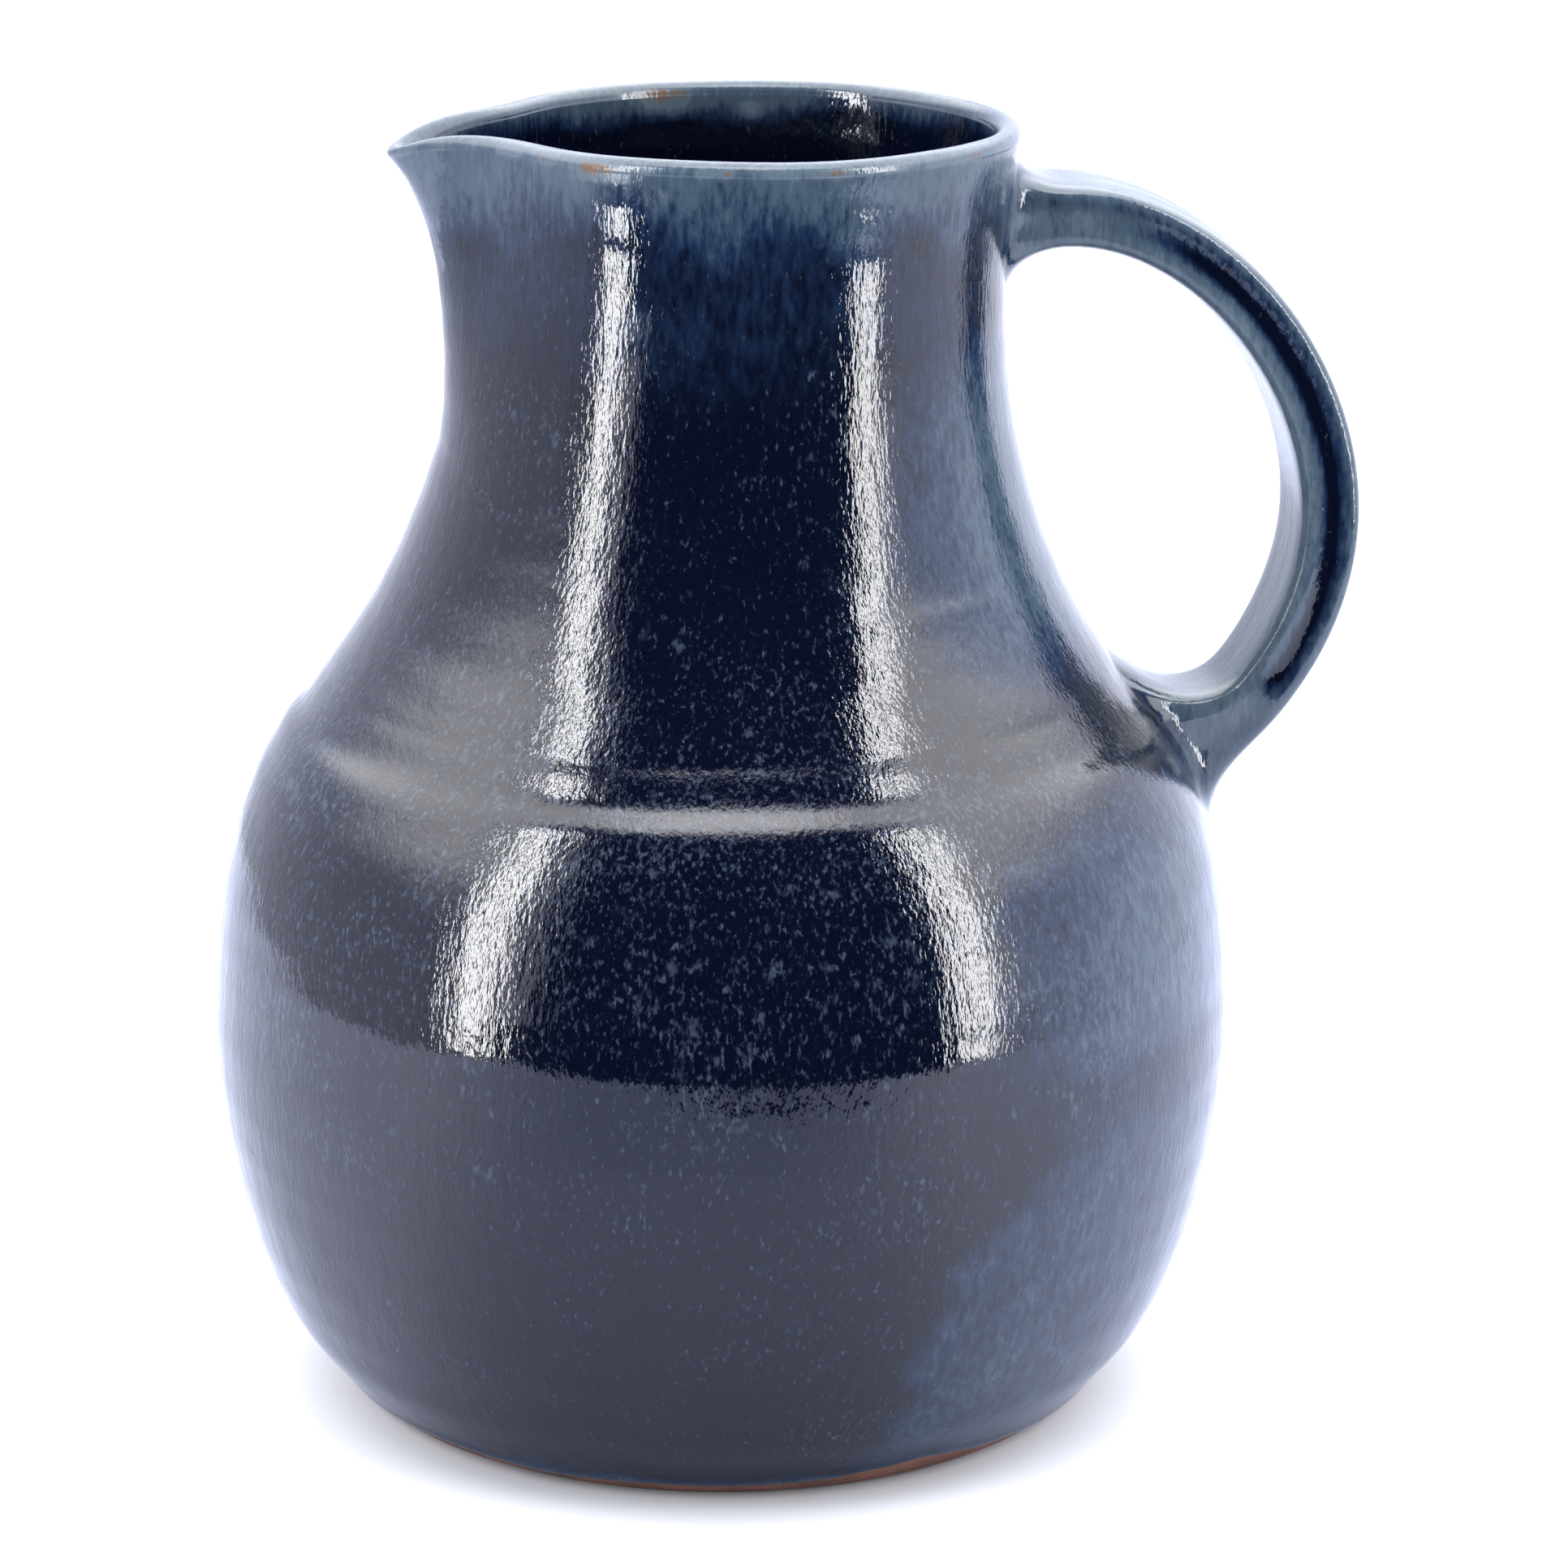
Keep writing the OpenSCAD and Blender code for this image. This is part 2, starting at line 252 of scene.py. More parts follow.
class Form:
    """The pitcher's surfaces, worked out from the sizes in the scene's property groups."""

    # The profile between its named rings: the share of the way up, and of the way out to the belly's
    # radius or in to the neck's.
    below_belly = ((0.2, 0.49), (0.55, 0.86))
    above_belly = ((0.275, 0.14), (0.56, 0.675), (0.78, 0.915))
    profile_steps = 900
    lip_steps = 121
    floor_steps = 60
    ledge_edge, ledge_fade = 1.9 * MM, 11 * MM
    groove_over_ledge, groove_depth = 7.5 * MM, 0.1 * MM
    belly_groove_z, belly_groove_depth = 75 * MM, 0.05 * MM
    shelf_z, shelf_step, shelf_at = 147 * MM, 0.12 * MM, math.radians(-45)

    def __init__(self, scene):
        self.wall, self.spout = scene.pitcher_wall, scene.pitcher_spout
        self.handle, self.glaze = scene.pitcher_handle, scene.pitcher_glaze
        w = self.wall
        neck_z = w.rim_z - w.neck_drop
        swell, rise, narrowing = w.belly_r - w.foot_r, neck_z - w.belly_z, w.belly_r - w.neck_r
        self.wall_points = [
            (0, w.foot_r),
            *((up * w.belly_z, w.foot_r + out * swell) for up, out in self.below_belly),
            (w.belly_z, w.belly_r),
            *((w.belly_z + up * rise, w.belly_r - back * narrowing) for up, back in self.above_belly),
            (neck_z, w.neck_r),
            (w.rim_z, w.rim_r),
        ]
        self.lip_r = w.rim_wall / 2
        self.lip_z = w.rim_z - self.lip_r
        self.flare_z = w.rim_z - self.spout.depth
        self.line, self.along = self.section()
        up_to_top = slice(0, self.top_index + 1)
        self.lip_along = np.interp(w.rim_z - 1e-9, self.line[up_to_top, 1], self.along[up_to_top])

    def outer_r(self, z):
        return curve(self.wall_points, z)

    def slope(self, z):
        return (self.outer_r(z + 0.5 * MM) - self.outer_r(z - 0.5 * MM)) / MM

    def inner_r(self, z):
        w = self.wall
        thickness = w.foot_wall + (w.rim_wall - w.foot_wall) * z / w.rim_z
        past = 1 - np.clip((z - w.floor_t) / w.floor_corner, 0, 1)
        corner = w.floor_corner * (1 - np.sqrt(1 - past**2))
        return self.outer_r(z) - thickness * np.sqrt(1 + self.slope(z) ** 2) - corner

    def section(self):
        """The clay's section as (radius, height) points, and the distance run along it.

        It runs up the outside from the foot, over the lip, down the inside and in along the floor.
        """
        w = self.wall
        bevel = np.array([[w.foot_r - w.foot_bevel, 0]])
        z_up = np.linspace(w.foot_bevel, self.lip_z, self.profile_steps)
        turn = np.linspace(0, math.pi, self.lip_steps)[1:-1]
        round_lip = self.lip_r * np.stack([np.cos(turn), np.sin(turn)], -1)
        lip = np.array([w.rim_r - self.lip_r, self.lip_z]) + round_lip
        down = np.linspace(1, 0, self.profile_steps) ** 1.6
        z_down = w.floor_t + (self.lip_z - w.floor_t) * down
        r_in = np.linspace(self.inner_r(w.floor_t), 0, self.floor_steps)[1:]
        line = np.concatenate([
            bevel,
            np.stack([self.outer_r(z_up), z_up], -1),
            lip,
            np.stack([self.inner_r(z_down), z_down], -1),
            np.stack([r_in, np.full_like(r_in, w.floor_t)], -1),
        ])
        self.top_index = 1 + len(z_up) + len(turn) // 2
        steps = np.linalg.norm(np.diff(line, axis=0), axis=1)
        return line, np.concatenate([[0], np.cumsum(steps)])

    def at(self, s):
        """Radius, height and outward normal of the section at a distance run along it."""
        near = 0.35 * MM

        def point(s):
            return [np.interp(s, self.along, self.line[:, k]) for k in (0, 1)]

        (r, z), ahead, behind = point(s), point(s + near), point(s - near)
        dr, dz = ahead[0] - behind[0], ahead[1] - behind[1]
        run = np.maximum(np.hypot(dr, dz), 1e-12)
        return r, z, dz / run, -dr / run

    def mouth_x(self, z):
        return self.wall.mouth_shift * np.clip(2 * z / self.wall.rim_z - 1, 0, 1) ** 1.9

    def bent(self, r, angle, z):
        """A point of the wall, after the mouth's offset, the spout and the rim's waver."""
        w, spout = self.wall, self.spout

        def lobe(turn, half):
            return 2.0 ** -((turn / half) ** 2)

        s = np.maximum(z - self.flare_z, 0) / spout.depth
        off = np.abs(angle - math.pi)
        half = spout.half_angle * (1.6 - 0.6 * np.minimum(s, 1))
        pull = spout.reach * (0.76 * s**1.15 + 0.24 * s**6) * lobe(off, half)
        pinched = r - spout.pinch * s**3 * lobe(off - 2.1 * half, half)
        dip = spout.dip * s**4 * lobe(off, 0.62 * half)
        waver = w.rim_waver * (0.5 + 0.5 * ripple(angle, 0 * z, 21, most_turns=7)) * s**6
        return np.stack([
            pinched * np.cos(angle) + self.mouth_x(z) - pull,
            pinched * np.sin(angle),
            z - dip - waver,
        ], -1)

    def ledge_height(self, angle):
        waver = 0.35 * MM * ripple(angle, 0 * angle, 33)
        return self.wall.ledge_z + 0.8 * MM * np.sin(angle + 2.6) + waver

    def outside_marks(self, angle, z):
        """How far the thrown wall stands out of its even form, which is mostly inwards."""
        w = self.wall
        rings = w.ring_height * np.sin(TURN * z / w.ring_pitch + angle + 1.5 * ripple(angle, z, 5))
        uneven = -w.dent_depth * (0.5 + 0.5 * ripple(angle, z, 8, finest=60 * MM, most_turns=4))
        ledge_z = self.ledge_height(angle)
        below = ledge_z - z
        ledge = w.ledge_step * np.tanh(below / self.ledge_edge) * np.exp(-np.abs(below) / self.ledge_fade)
        groove = -self.groove_depth * bump_at(z, ledge_z + self.groove_over_ledge, 1.1 * MM)
        belly_groove = bump_at(z, self.belly_groove_z + 2 * MM * np.sin(angle), 2 * MM)
        groove = groove - self.belly_groove_depth * belly_groove
        shelf = self.shelf_step * np.tanh((self.shelf_z - z) / (1 * MM)) * bump_at(z, self.shelf_z, 7 * MM)
        shelf = shelf * bump_at(angle_between(angle, self.shelf_at), 0, math.radians(40))
        return (rings + uneven + ledge + groove + shelf) * smooth(z, 1 * MM, 9 * MM)

    def inside_marks(self, angle, z):
        """How far the inside stands out of its even form, towards the hollow."""
        w = self.wall
        turns = TURN * z / (1.2 * w.ring_pitch) + angle + 0.8 * ripple(angle, z, 6)
        rings = -w.inner_ring_height * (0.5 + 0.5 * np.sin(turns))
        return (rings - 0.1 * MM * ripple(angle, z, 9)) * smooth(w.rim_z - z, 3 * MM, 20 * MM)

    def coat(self, s, angle, out):
        """Points that lie out from the clay's surface, at distances s run along the section."""
        r, z, nr, nz = self.at(s)
        inside = smooth(s, self.lip_along + 2 * MM, self.lip_along + 8 * MM)
        outside = smooth(self.lip_along - s, 1.5 * MM, 9 * MM)
        off = out + outside * self.outside_marks(angle, z) + inside * self.inside_marks(angle, z)
        return self.bent(np.maximum(r + nr * off, 0), angle, z + nz * off)

    def on_wall(self, y, z, out):
        """A point of the outside on the handle's side, out from the clay along its normal."""
        angle = np.arctan2(y, self.outer_r(z))
        level = out + self.outside_marks(angle, z)
        r = self.outer_r(z) + level * np.sqrt(1 + self.slope(z) ** 2)
        return np.stack([self.mouth_x(z) + np.sqrt(r**2 - y**2), y, z], -1)


class StrapLine:
    """The strap's middle line and its rings of points, from the neck down to the shoulder."""

    around = 128
    steps = 150
    root_steps = 30
    root_fullness = 1.2
    root_squareness = 2.7
    strap_squareness = 6
    # Where the strap reaches out farthest, and how full its curves are, as shares of what they span.
    bulge_rise = 0.37
    top_full, bulge_over, bulge_under, end_full = 0.5, 0.5, 0.42, 0.28

    def __init__(self, form):
        self.form = form
        w, h = form.wall, form.handle
        self.upper_z = w.rim_z - h.upper_drop
        self.lower_z = w.belly_z + h.lower_rise
        lower_angle = math.atan(-form.slope(self.lower_z))
        self.top = self.out_of_wall(self.upper_z, h.upper_angle, h.upper_len)
        self.end = self.out_of_wall(self.lower_z, lower_angle, h.lower_len)
        bulge_z = self.end[2] + self.bulge_rise * (self.top[2] - self.end[2])
        self.bulge = np.array([w.belly_r + h.reach - h.strap_t / 2, 0, bulge_z])
        self.turns = circle(self.around)

    def out_of_wall(self, z, angle, distance):
        start = np.array([self.form.mouth_x(z) + self.form.outer_r(z), 0, z])
        return start + distance * np.array([math.cos(angle), 0, math.sin(angle)])

    def middle(self, t):
        h = self.form.handle
        top, end, bulge = self.top, self.end, self.bulge
        leg = np.array([-math.cos(h.leg_angle), 0, -math.sin(h.leg_angle)])
        upper, lower = top[2] - bulge[2], bulge[2] - end[2]
        up = np.array([0, 0, 1.0])
        if t <= 0.5:
            level = np.array([self.top_full * (bulge[0] - top[0]), 0, 0])
            return bezier(top, top + level, bulge + self.bulge_over * upper * up, bulge, 2 * t)
        under, last = bulge - self.bulge_under * lower * up, end - self.end_full * lower * leg
        return bezier(bulge, under, last, end, 2 * t - 1)

    def way(self, t):
        return unit(self.middle(min(t + 0.01, 1)) - self.middle(max(t - 0.01, 0)))

    def oblong(self, turn, squareness=strap_squareness):
        """A section as (across, out), each from -1 to 1: a circle at 2, and squarer the higher."""
        across, out = np.cos(turn), np.sin(turn)
        reach = (np.abs(across) ** squareness + np.abs(out) ** squareness) ** (-1 / squareness)
        return across * reach, out * reach

    def ring(self, t, grown, worked):
        """One ring of the strap, grown all round; worked is its share of the hollow and the ridges."""
        h = self.form.handle
        way = self.way(t)
        out_way = np.array([-way[2], 0, way[0]])
        across, out = self.oblong(self.turns)
        half_w = (h.top_w + (h.bottom_w - h.top_w) * t) / 2 + grown
        half_t = h.strap_t / 2 + grown
        side = smooth(np.abs(across), 0.8, 0.97)
        hollow = worked * h.side_hollow * side * bump_at(out, 0.05, 0.5)
        back = smooth(out, 0.8, 0.97)
        ridges = worked * h.back_ridges * back * (0.5 + 0.5 * np.cos(across * 3 * math.pi))
        waver = 0.25 * MM * math.sin(9 * t + 1) * worked
        y = (half_w + waver) * across - np.sign(across) * hollow
        y_way = np.array([0, 1.0, 0])
        return self.middle(t) + (half_t * out - ridges)[:, None] * out_way + y[:, None] * y_way

    def wall_ring(self, z, half_h, upright, out, scale=1.0):
        turn = self.turns
        uneven = 1 + 0.05 * ripple(turn, 0 * turn, 41 if upright > 0 else 43, most_turns=5)
        across, along = self.oblong(turn, self.root_squareness)
        y = scale * uneven * self.form.handle.root_half_w * across
        return self.form.on_wall(y, z + upright * scale * uneven * half_h * along, out)

    def root(self, start, way, z, half_h, upright, out):
        """Rings from the strap to the wall, where the clay runs out flat."""
        end = self.wall_ring(z, half_h, upright, out)
        past = self.wall_ring(z, half_h, upright, out, 1.02)
        full = self.root_fullness * np.linalg.norm(end - start, axis=1, keepdims=True)
        steps = np.linspace(0, 1, self.root_steps + 1)
        return np.array([hermite(start, full * way, end, full * unit(past - end), t) for t in steps])

    def upper_root(self, grown, landing):
        half_h = self.form.handle.upper_half_h
        return self.root(self.ring(0, grown, 0), -self.way(0), self.upper_z, half_h, 1, landing)

    def lower_root(self, grown, landing):
        half_h = self.form.handle.lower_half_h
        return self.root(self.ring(1, grown, 0), self.way(1), self.lower_z, half_h, -1, landing)

    def strap(self, grown):
        ts = np.linspace(0, 1, self.steps + 1)
        worked = smooth(ts, 0, 0.12) * smooth(1 - ts, 0, 0.12)
        return np.array([self.ring(t, grown, k) for t, k in zip(ts, worked)])

    def whole(self, grown, landing):
        """All the rings from the neck to the shoulder."""
        upper = self.upper_root(grown, landing)[::-1]
        return np.concatenate([upper[:-1], self.strap(grown), self.lower_root(grown, landing)[1:]])


# ---- Meshes ----


def signed_volume(points, faces):
    a, b, c = points[faces[:, 0]], points[faces[:, 1]], points[faces[:, 2]]
    total = np.einsum("ij,ij->i", a, np.cross(b, c)).sum()
    if faces.shape[1] == 4:
        d = points[faces[:, 3]]
        total += np.einsum("ij,ij->i", a, np.cross(c, d)).sum()
    return total / 6


def ringed_mesh(name, rings, closed=False, sharp=()):
    """A closed solid skinned over rings of points; its ends are fans, or it is a closed tube."""
    count, around = rings.shape[:2]
    points = rings.reshape(-1, 3)
    j = np.arange(count if closed else count - 1)[:, None]
    i = np.arange(around)[None, :]
    k, n = (j + 1) % count, (i + 1) % around
    quads = np.stack([j * around + i, j * around + n, k * around + n, k * around + i], -1).reshape(-1, 4)
    fans = np.empty((0, 3), int)
    if not closed:
        first, last = len(points), len(points) + 1
        points = np.concatenate([points, rings[0].mean(0)[None], rings[-1].mean(0)[None]])
        i, n = i[0], n[0]
        base = (count - 1) * around
        fans = np.concatenate([
            np.stack([np.full(around, first), n, i], -1),
            np.stack([np.full(around, last), base + i, base + n], -1),
        ])
    volume = signed_volume(points, quads) + (signed_volume(points, fans) if len(fans) else 0)
    if volume < 0:
        quads, fans = quads[:, ::-1], fans[:, ::-1]
    mesh = bpy.data.meshes.new(name)
    mesh.vertices.add(len(points))
    mesh.vertices.foreach_set("co", points.astype(np.float32).ravel())
    corners = np.concatenate([quads.ravel(), fans.ravel()])
    sizes = np.concatenate([np.full(len(quads), 4), np.full(len(fans), 3)])
    mesh.loops.add(len(corners))
    mesh.loops.foreach_set("vertex_index", corners.astype(np.int32))
    mesh.polygons.add(len(sizes))
    mesh.polygons.foreach_set("loop_start", (np.cumsum(sizes) - sizes).astype(np.int32))
    mesh.update(calc_edges=True)
    mesh.validate()
    mesh.shade_smooth()
    edges = np.empty(len(mesh.edges) * 2, np.int32)
    mesh.edges.foreach_get("vertices", edges)
    ring_of = edges.reshape(-1, 2) // around
    creased = (ring_of[:, 0] == ring_of[:, 1]) & np.isin(ring_of[:, 0], list(sharp))
    mesh.attributes.new("sharp_edge", "BOOLEAN", "EDGE").data.foreach_set("value", creased)
    return mesh


def mark(mesh, thin, specks):
    """Keeps for the materials how thin the glaze lies and how crowded its specks are at each point."""
    for name, values in {"glaze_thinness": thin, "glaze_specks": specks + 0 * thin}.items():
        values = values.astype(np.float32).ravel()
        fan_middles = np.full(len(mesh.vertices) - len(values), values[-1])
        data = mesh.attributes.new(name, "FLOAT", "POINT").data
        data.foreach_set("value", np.concatenate([values, fan_middles]))


def place(mesh, material, node_name):
    """Makes the mesh a piece that stands in for the packed node of that name."""
    piece = bpy.data.objects.new(mesh.name, mesh)
    bpy.context.scene.collection.objects.link(piece)
    mesh.materials.append(material)
    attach(piece, "root")
    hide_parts(node_name)
    return piece


# ---- Where the glaze is thick and where it is thin ----


def blob(angle, z, at, height, half_turn, half_height):
    """A soft patch on the wall; the angles are in degrees."""
    turned = np.degrees(angle_between(angle, math.radians(at)))
    return np.exp(-((turned / half_turn) ** 4) - ((z - height) / half_height) ** 4)


def patches(rows, angle, z):
    """Each row's patch, times its share."""
    return np.array([share_of * blob(angle, z, *place_) for share_of, *place_ in rows])


# Soft patches: share, bearing in degrees, height (or depth below the lip, for rust), half the width in
# degrees, and half the height.
THIN_PATCHES = (
    (0.56, -12, 160 * MM, 47, 27 * MM),
    (0.44, -26, 92 * MM, 36, 20 * MM),
    (0.34, 95, 150 * MM, 30, 40 * MM),
)
OUTSIDE_RUST = ((1.0, -126, 3.4 * MM, 7, 1.5 * MM), (1.0, 160, 3 * MM, 9, 1.8 * MM))
INSIDE_RUST = ((1.0, 103, 4 * MM, 7, 2.4 * MM), (0.8, 82, 5.5 * MM, 3, 1.4 * MM))
# The edge of the last pour: heights, and its bearing in degrees at each.
POUR_HEIGHTS = (5 * MM, 24 * MM, 45 * MM, 60 * MM)
POUR_BEARINGS = (-77, -73, -70, -58)
# How crowded the specks are on the outside, at heights in millimetres, and everywhere else.
SPECK_CROWDS = ((0, 0.42), (60, 0.48), (76, 0.85), (98, 0.95), (118, 1.1), (135, 0.8), (170, 0.5), (220, 0.2))
FEW_SPECKS = 0.1


def wall_thinness(form, angle, z, below_lip):
    """0 where the outside glaze lies thick, about 0.6 where it is thin, over 1 where it burns off."""
    ragged = 4 * MM * ripple(angle, z, 51, most_turns=14)
    band = 0.6 * (1 - smooth(below_lip + ragged, 2 * MM, 24 * MM))
    band = np.maximum(band, 0.12 * (1 - smooth(below_lip + ragged, 24 * MM, 48 * MM)))
    lip = 0.2 * (1 - smooth(below_lip, 0.8 * MM, 4 * MM))
    broken = smooth(ripple(angle, 0 * z, 52, most_turns=30), -0.5, 0.3)
    line = bump_at(below_lip, 2.5 * MM, 0.7 * MM) * broken
    lip = lip + 0.38 * line + 0.55 * patches(OUTSIDE_RUST, angle, below_lip).sum(0)
    turned = np.degrees(angle_between(angle, 0))
    pour_edge = np.interp(z, POUR_HEIGHTS, POUR_BEARINGS) + 1.6 * ripple(angle, z, 53, finest=9 * MM)
    pour = 0.27 * smooth(turned, pour_edge - 3, pour_edge + 3) * smooth(-turned, -70, -40)
    pour = pour * smooth(-z, -80 * MM, -52 * MM)
    foot = 0.5 * smooth(-z, -6 * MM, -2.5 * MM)
    patchy = patches(THIN_PATCHES, angle, z).max(0)
    return np.maximum(np.maximum(band + lip, patchy), np.maximum(pour, foot))


def wall_specks(z):
    heights, crowds = np.array(SPECK_CROWDS).T
    return np.interp(z, heights * MM, crowds)


# ---- Shader nodes ----


def opaque(colour_, by=(1, 1, 1)):
    """A colour as a material takes it, darker or lighter by a factor for each channel."""
    return (*[c * k for c, k in zip(colour_, by)], 1)


class Sketch:
    """Draws nodes in one tree; what a node is given is a value or another node's output."""

    def __init__(self, tree):
        self.tree = tree

    def feed(self, sockets, values):
        for key, value in values.items():
            if isinstance(value, bpy.types.NodeSocket):
                self.tree.links.new(value, sockets[key])
            else:
                sockets[key].default_value = value

    def node(self, kind, inputs=None, **settings):
        """Draws a node and gives back its outputs."""
        node = self.tree.nodes.new("ShaderNode" + kind)
        for key, value in settings.items():
            setattr(node, key, value)
        self.feed(node.inputs, inputs or {})
        return node.outputs

    def maths(self, operation, a, b=0.0):
        return self.node("Math", {0: a, 1: b}, operation=operation)[0]

    def plus(self, a, b):
        return self.maths("ADD", a, b)

    def minus(self, a, b):
        return self.maths("SUBTRACT", a, b)

    def times(self, a, b):
        return self.maths("MULTIPLY", a, b)

    def larger(self, a, b):
        return self.maths("MAXIMUM", a, b)

    def vector(self, operation, a, b=(0, 0, 0)):
        made = self.node("VectorMath", {0: a, 1: b}, operation=operation)
        return made["Value" if operation in ("DOT_PRODUCT", "LENGTH") else "Vector"]

    def ramp(self, value, low, high, to_low=0.0, to_high=1.0):
        """A smooth rise of value from low to high."""
        ends = {"From Min": low, "From Max": high, "To Min": to_low, "To Max": to_high}
        return self.node("MapRange", {"Value": value, **ends}, interpolation_type="SMOOTHSTEP")["Result"]

    def mix(self, share_of_b, a, b):
        """Colour a at 0 and colour b at 1."""
        node = self.tree.nodes.new("ShaderNodeMix")
        node.data_type = "RGBA"
        sockets = {socket.identifier: socket for socket in node.inputs}
        self.feed(sockets, {"Factor_Float": share_of_b, "A_Color": a, "B_Color": b})
        return next(socket for socket in node.outputs if socket.identifier == "Result_Color")

    def place(self, stretch=1.0):
        """The point of the object, with its height shrunk, so that what is drawn on it runs upright."""
        return self.vector("MULTIPLY", self.node("TexCoord")["Object"], (1.0, 1.0, 1.0 / stretch))

    def noise(self, where, size, detail=3.0, roughness=0.5):
        """Noise whose features are about size metres wide."""
        inputs = {"Vector": where, "Scale": 1.0 / size, "Detail": detail, "Roughness": roughness}
        return self.node("TexNoise", inputs)["Fac"]

    def bump(self, height, distance):
        return self.node("Bump", {"Height": height, "Strength": 1.0, "Distance": distance})["Normal"]

    def use(self, group, inputs):
        return self.node("Group", inputs, node_tree=group)


def group_of(name, inputs, outputs, draw):
    """The named shader group; draw gives its outputs, and is called the first time it is asked for."""
    if name in bpy.data.node_groups:
        return bpy.data.node_groups[name]
    tree = bpy.data.node_groups.new(name, "ShaderNodeTree")
    for way, sockets in (("INPUT", inputs), ("OUTPUT", outputs)):
        for socket, kind in sockets.items():
            tree.interface.new_socket(name=socket, in_out=way, socket_type="NodeSocket" + kind)
    sketch = Sketch(tree)
    made = draw(sketch, tree.nodes.new("NodeGroupInput").outputs)
    sketch.feed(tree.nodes.new("NodeGroupOutput").inputs, made)
    return tree


def spots_group():
    """Scattered spots of many sizes, with soft and uneven edges."""
    inputs = {"Vector": "Vector", "Spacing": "Float", "Share": "Float", "Softness": "Float"}
    widest = 0.62
    evenness = 0.6

    def draw(n, given):
        scale = n.maths("DIVIDE", 1.0, given["Spacing"])
        wander = n.node("TexNoise", {"Vector": given["Vector"], "Scale": scale, "Detail": 2.0})["Color"]
        centred = n.vector("SUBTRACT", wander, (0.5, 0.5, 0.5))
        moved = n.node("VectorMath", {0: centred, "Scale": given["Spacing"]}, operation="SCALE")["Vector"]
        cells = n.node("TexVoronoi", {"Vector": n.vector("ADD", given["Vector"], moved), "Scale": scale})
        drawn = n.node("SeparateColor", {"Color": cells["Color"]})
        over = n.minus(drawn["Red"], n.minus(1.0, given["Share"]))
        reach = n.times(n.maths("POWER", n.larger(over, 0.0), evenness), widest)
        inner = n.times(reach, n.minus(1.0, given["Softness"]))
        there = n.maths("GREATER_THAN", over, 0.001)
        return {"Spots": n.times(n.ramp(cells["Distance"], reach, inner), there), "Pick": drawn["Green"]}

    return group_of("Floating Spots", inputs, {"Spots": "Float", "Pick": "Float"}, draw)


def relief_group():
    """The fine relief of a glaze that has crawled down the wall as it melted."""
    crawl = 3.4
    broad_times = 6.0
    broad_height = 1.6

    def draw(n, given):
        where = n.place(crawl)
        scale = n.maths("DIVIDE", 1.0, given["Grain"])
        fine = {"Vector": where, "Scale": scale, "Detail": 2.0, "Roughness": 0.55}
        broad = {"Vector": where, "Scale": n.maths("DIVIDE", scale, broad_times), "Detail": 1.0}
        hills = n.times(n.node("TexNoise", broad)["Fac"], broad_height)
        return {"Height": n.plus(n.node("TexNoise", fine)["Fac"], hills)}

    return group_of("Glaze Relief", {"Grain": "Float"}, {"Height": "Float"}, draw)


def glaze_group():
    """The colour of a floating blue glaze by how thin it lies, with its streaks, specks and pinholes."""
    steps = (("Middle", 0.0, 0.28), ("Thin", 0.22, 0.6), ("Pale", 0.6, 0.95), ("Burnt", 1.0, 1.25))
    pinhole = (0.3, 0.32, 0.34, 1.0)
    inputs = {"Thinness": "Float", "Speck Share": "Float"}
    inputs.update(dict.fromkeys(("Thick", "Middle", "Thin", "Pale", "Burnt", "Speck"), "Color"))

    def draw(n, given):
        even, tall = n.place(1.5), n.place(2.2)
        streaks = n.times(n.minus(n.noise(n.place(3.2), 1.2 * MM, 4.0, 0.65), 0.5), 0.9)
        clouds = n.times(n.minus(n.noise(even, 9 * MM, 5.0, 0.65), 0.5), 0.55)
        raggedness = n.ramp(given["Thinness"], 0.02, 0.3, 0.25, 1.0)
        thin = n.plus(given["Thinness"], n.times(n.plus(streaks, clouds), raggedness))
        made = given["Thick"]
        for name, low, high in steps:
            made = n.mix(n.ramp(thin, low, high), made, given[name])

        drift = n.times(n.minus(n.noise(n.place(0.7), 26 * MM), 0.5), 0.3)
        more = n.times(n.minus(given["Speck Share"], 0.75), 0.14)
        crowd = n.plus(drift, more)
        fine = n.plus(n.noise(tall, 0.75 * MM, 2.0, 0.6), crowd)
        coarse = n.plus(n.noise(n.place(1.7), 2.1 * MM, 2.0, 0.6), crowd)
        specks = n.larger(n.times(n.ramp(fine, 0.55, 0.82), 0.7), n.times(n.ramp(coarse, 0.62, 0.8), 0.5))
        few = n.times(given["Speck Share"], 0.2)
        blots = n.use(
            spots_group(), {"Vector": tall, "Spacing": 6 * MM, "Share": few, "Softness": 0.85},
        )
        specks = n.larger(specks, n.times(blots["Spots"], n.times(blots["Pick"], 0.75)))
        on_dark = n.ramp(thin, 0.75, 0.2, 0.25, 1.0)
        made = n.mix(n.times(specks, on_dark), made, given["Speck"])
        pin = n.use(spots_group(), {"Vector": even, "Spacing": 5 * MM, "Share": 0.02, "Softness": 0.3})
        made = n.mix(n.times(pin["Spots"], 0.6), made, pinhole)
        return {"Color": made, "Roughness": n.ramp(thin, 0.3, 1.1, 0.055, 0.22)}

    return group_of("Floating Glaze", inputs, {"Color": "Color", "Roughness": "Float"}, draw)


# ---- Materials ----


def new_material(name):
    """A new material, the sketch of its tree and its shader's inputs."""
    material = bpy.data.materials.new(name)
    material.use_nodes = True
    tree = material.node_tree
    return material, Sketch(tree), tree.nodes["Principled BSDF"].inputs


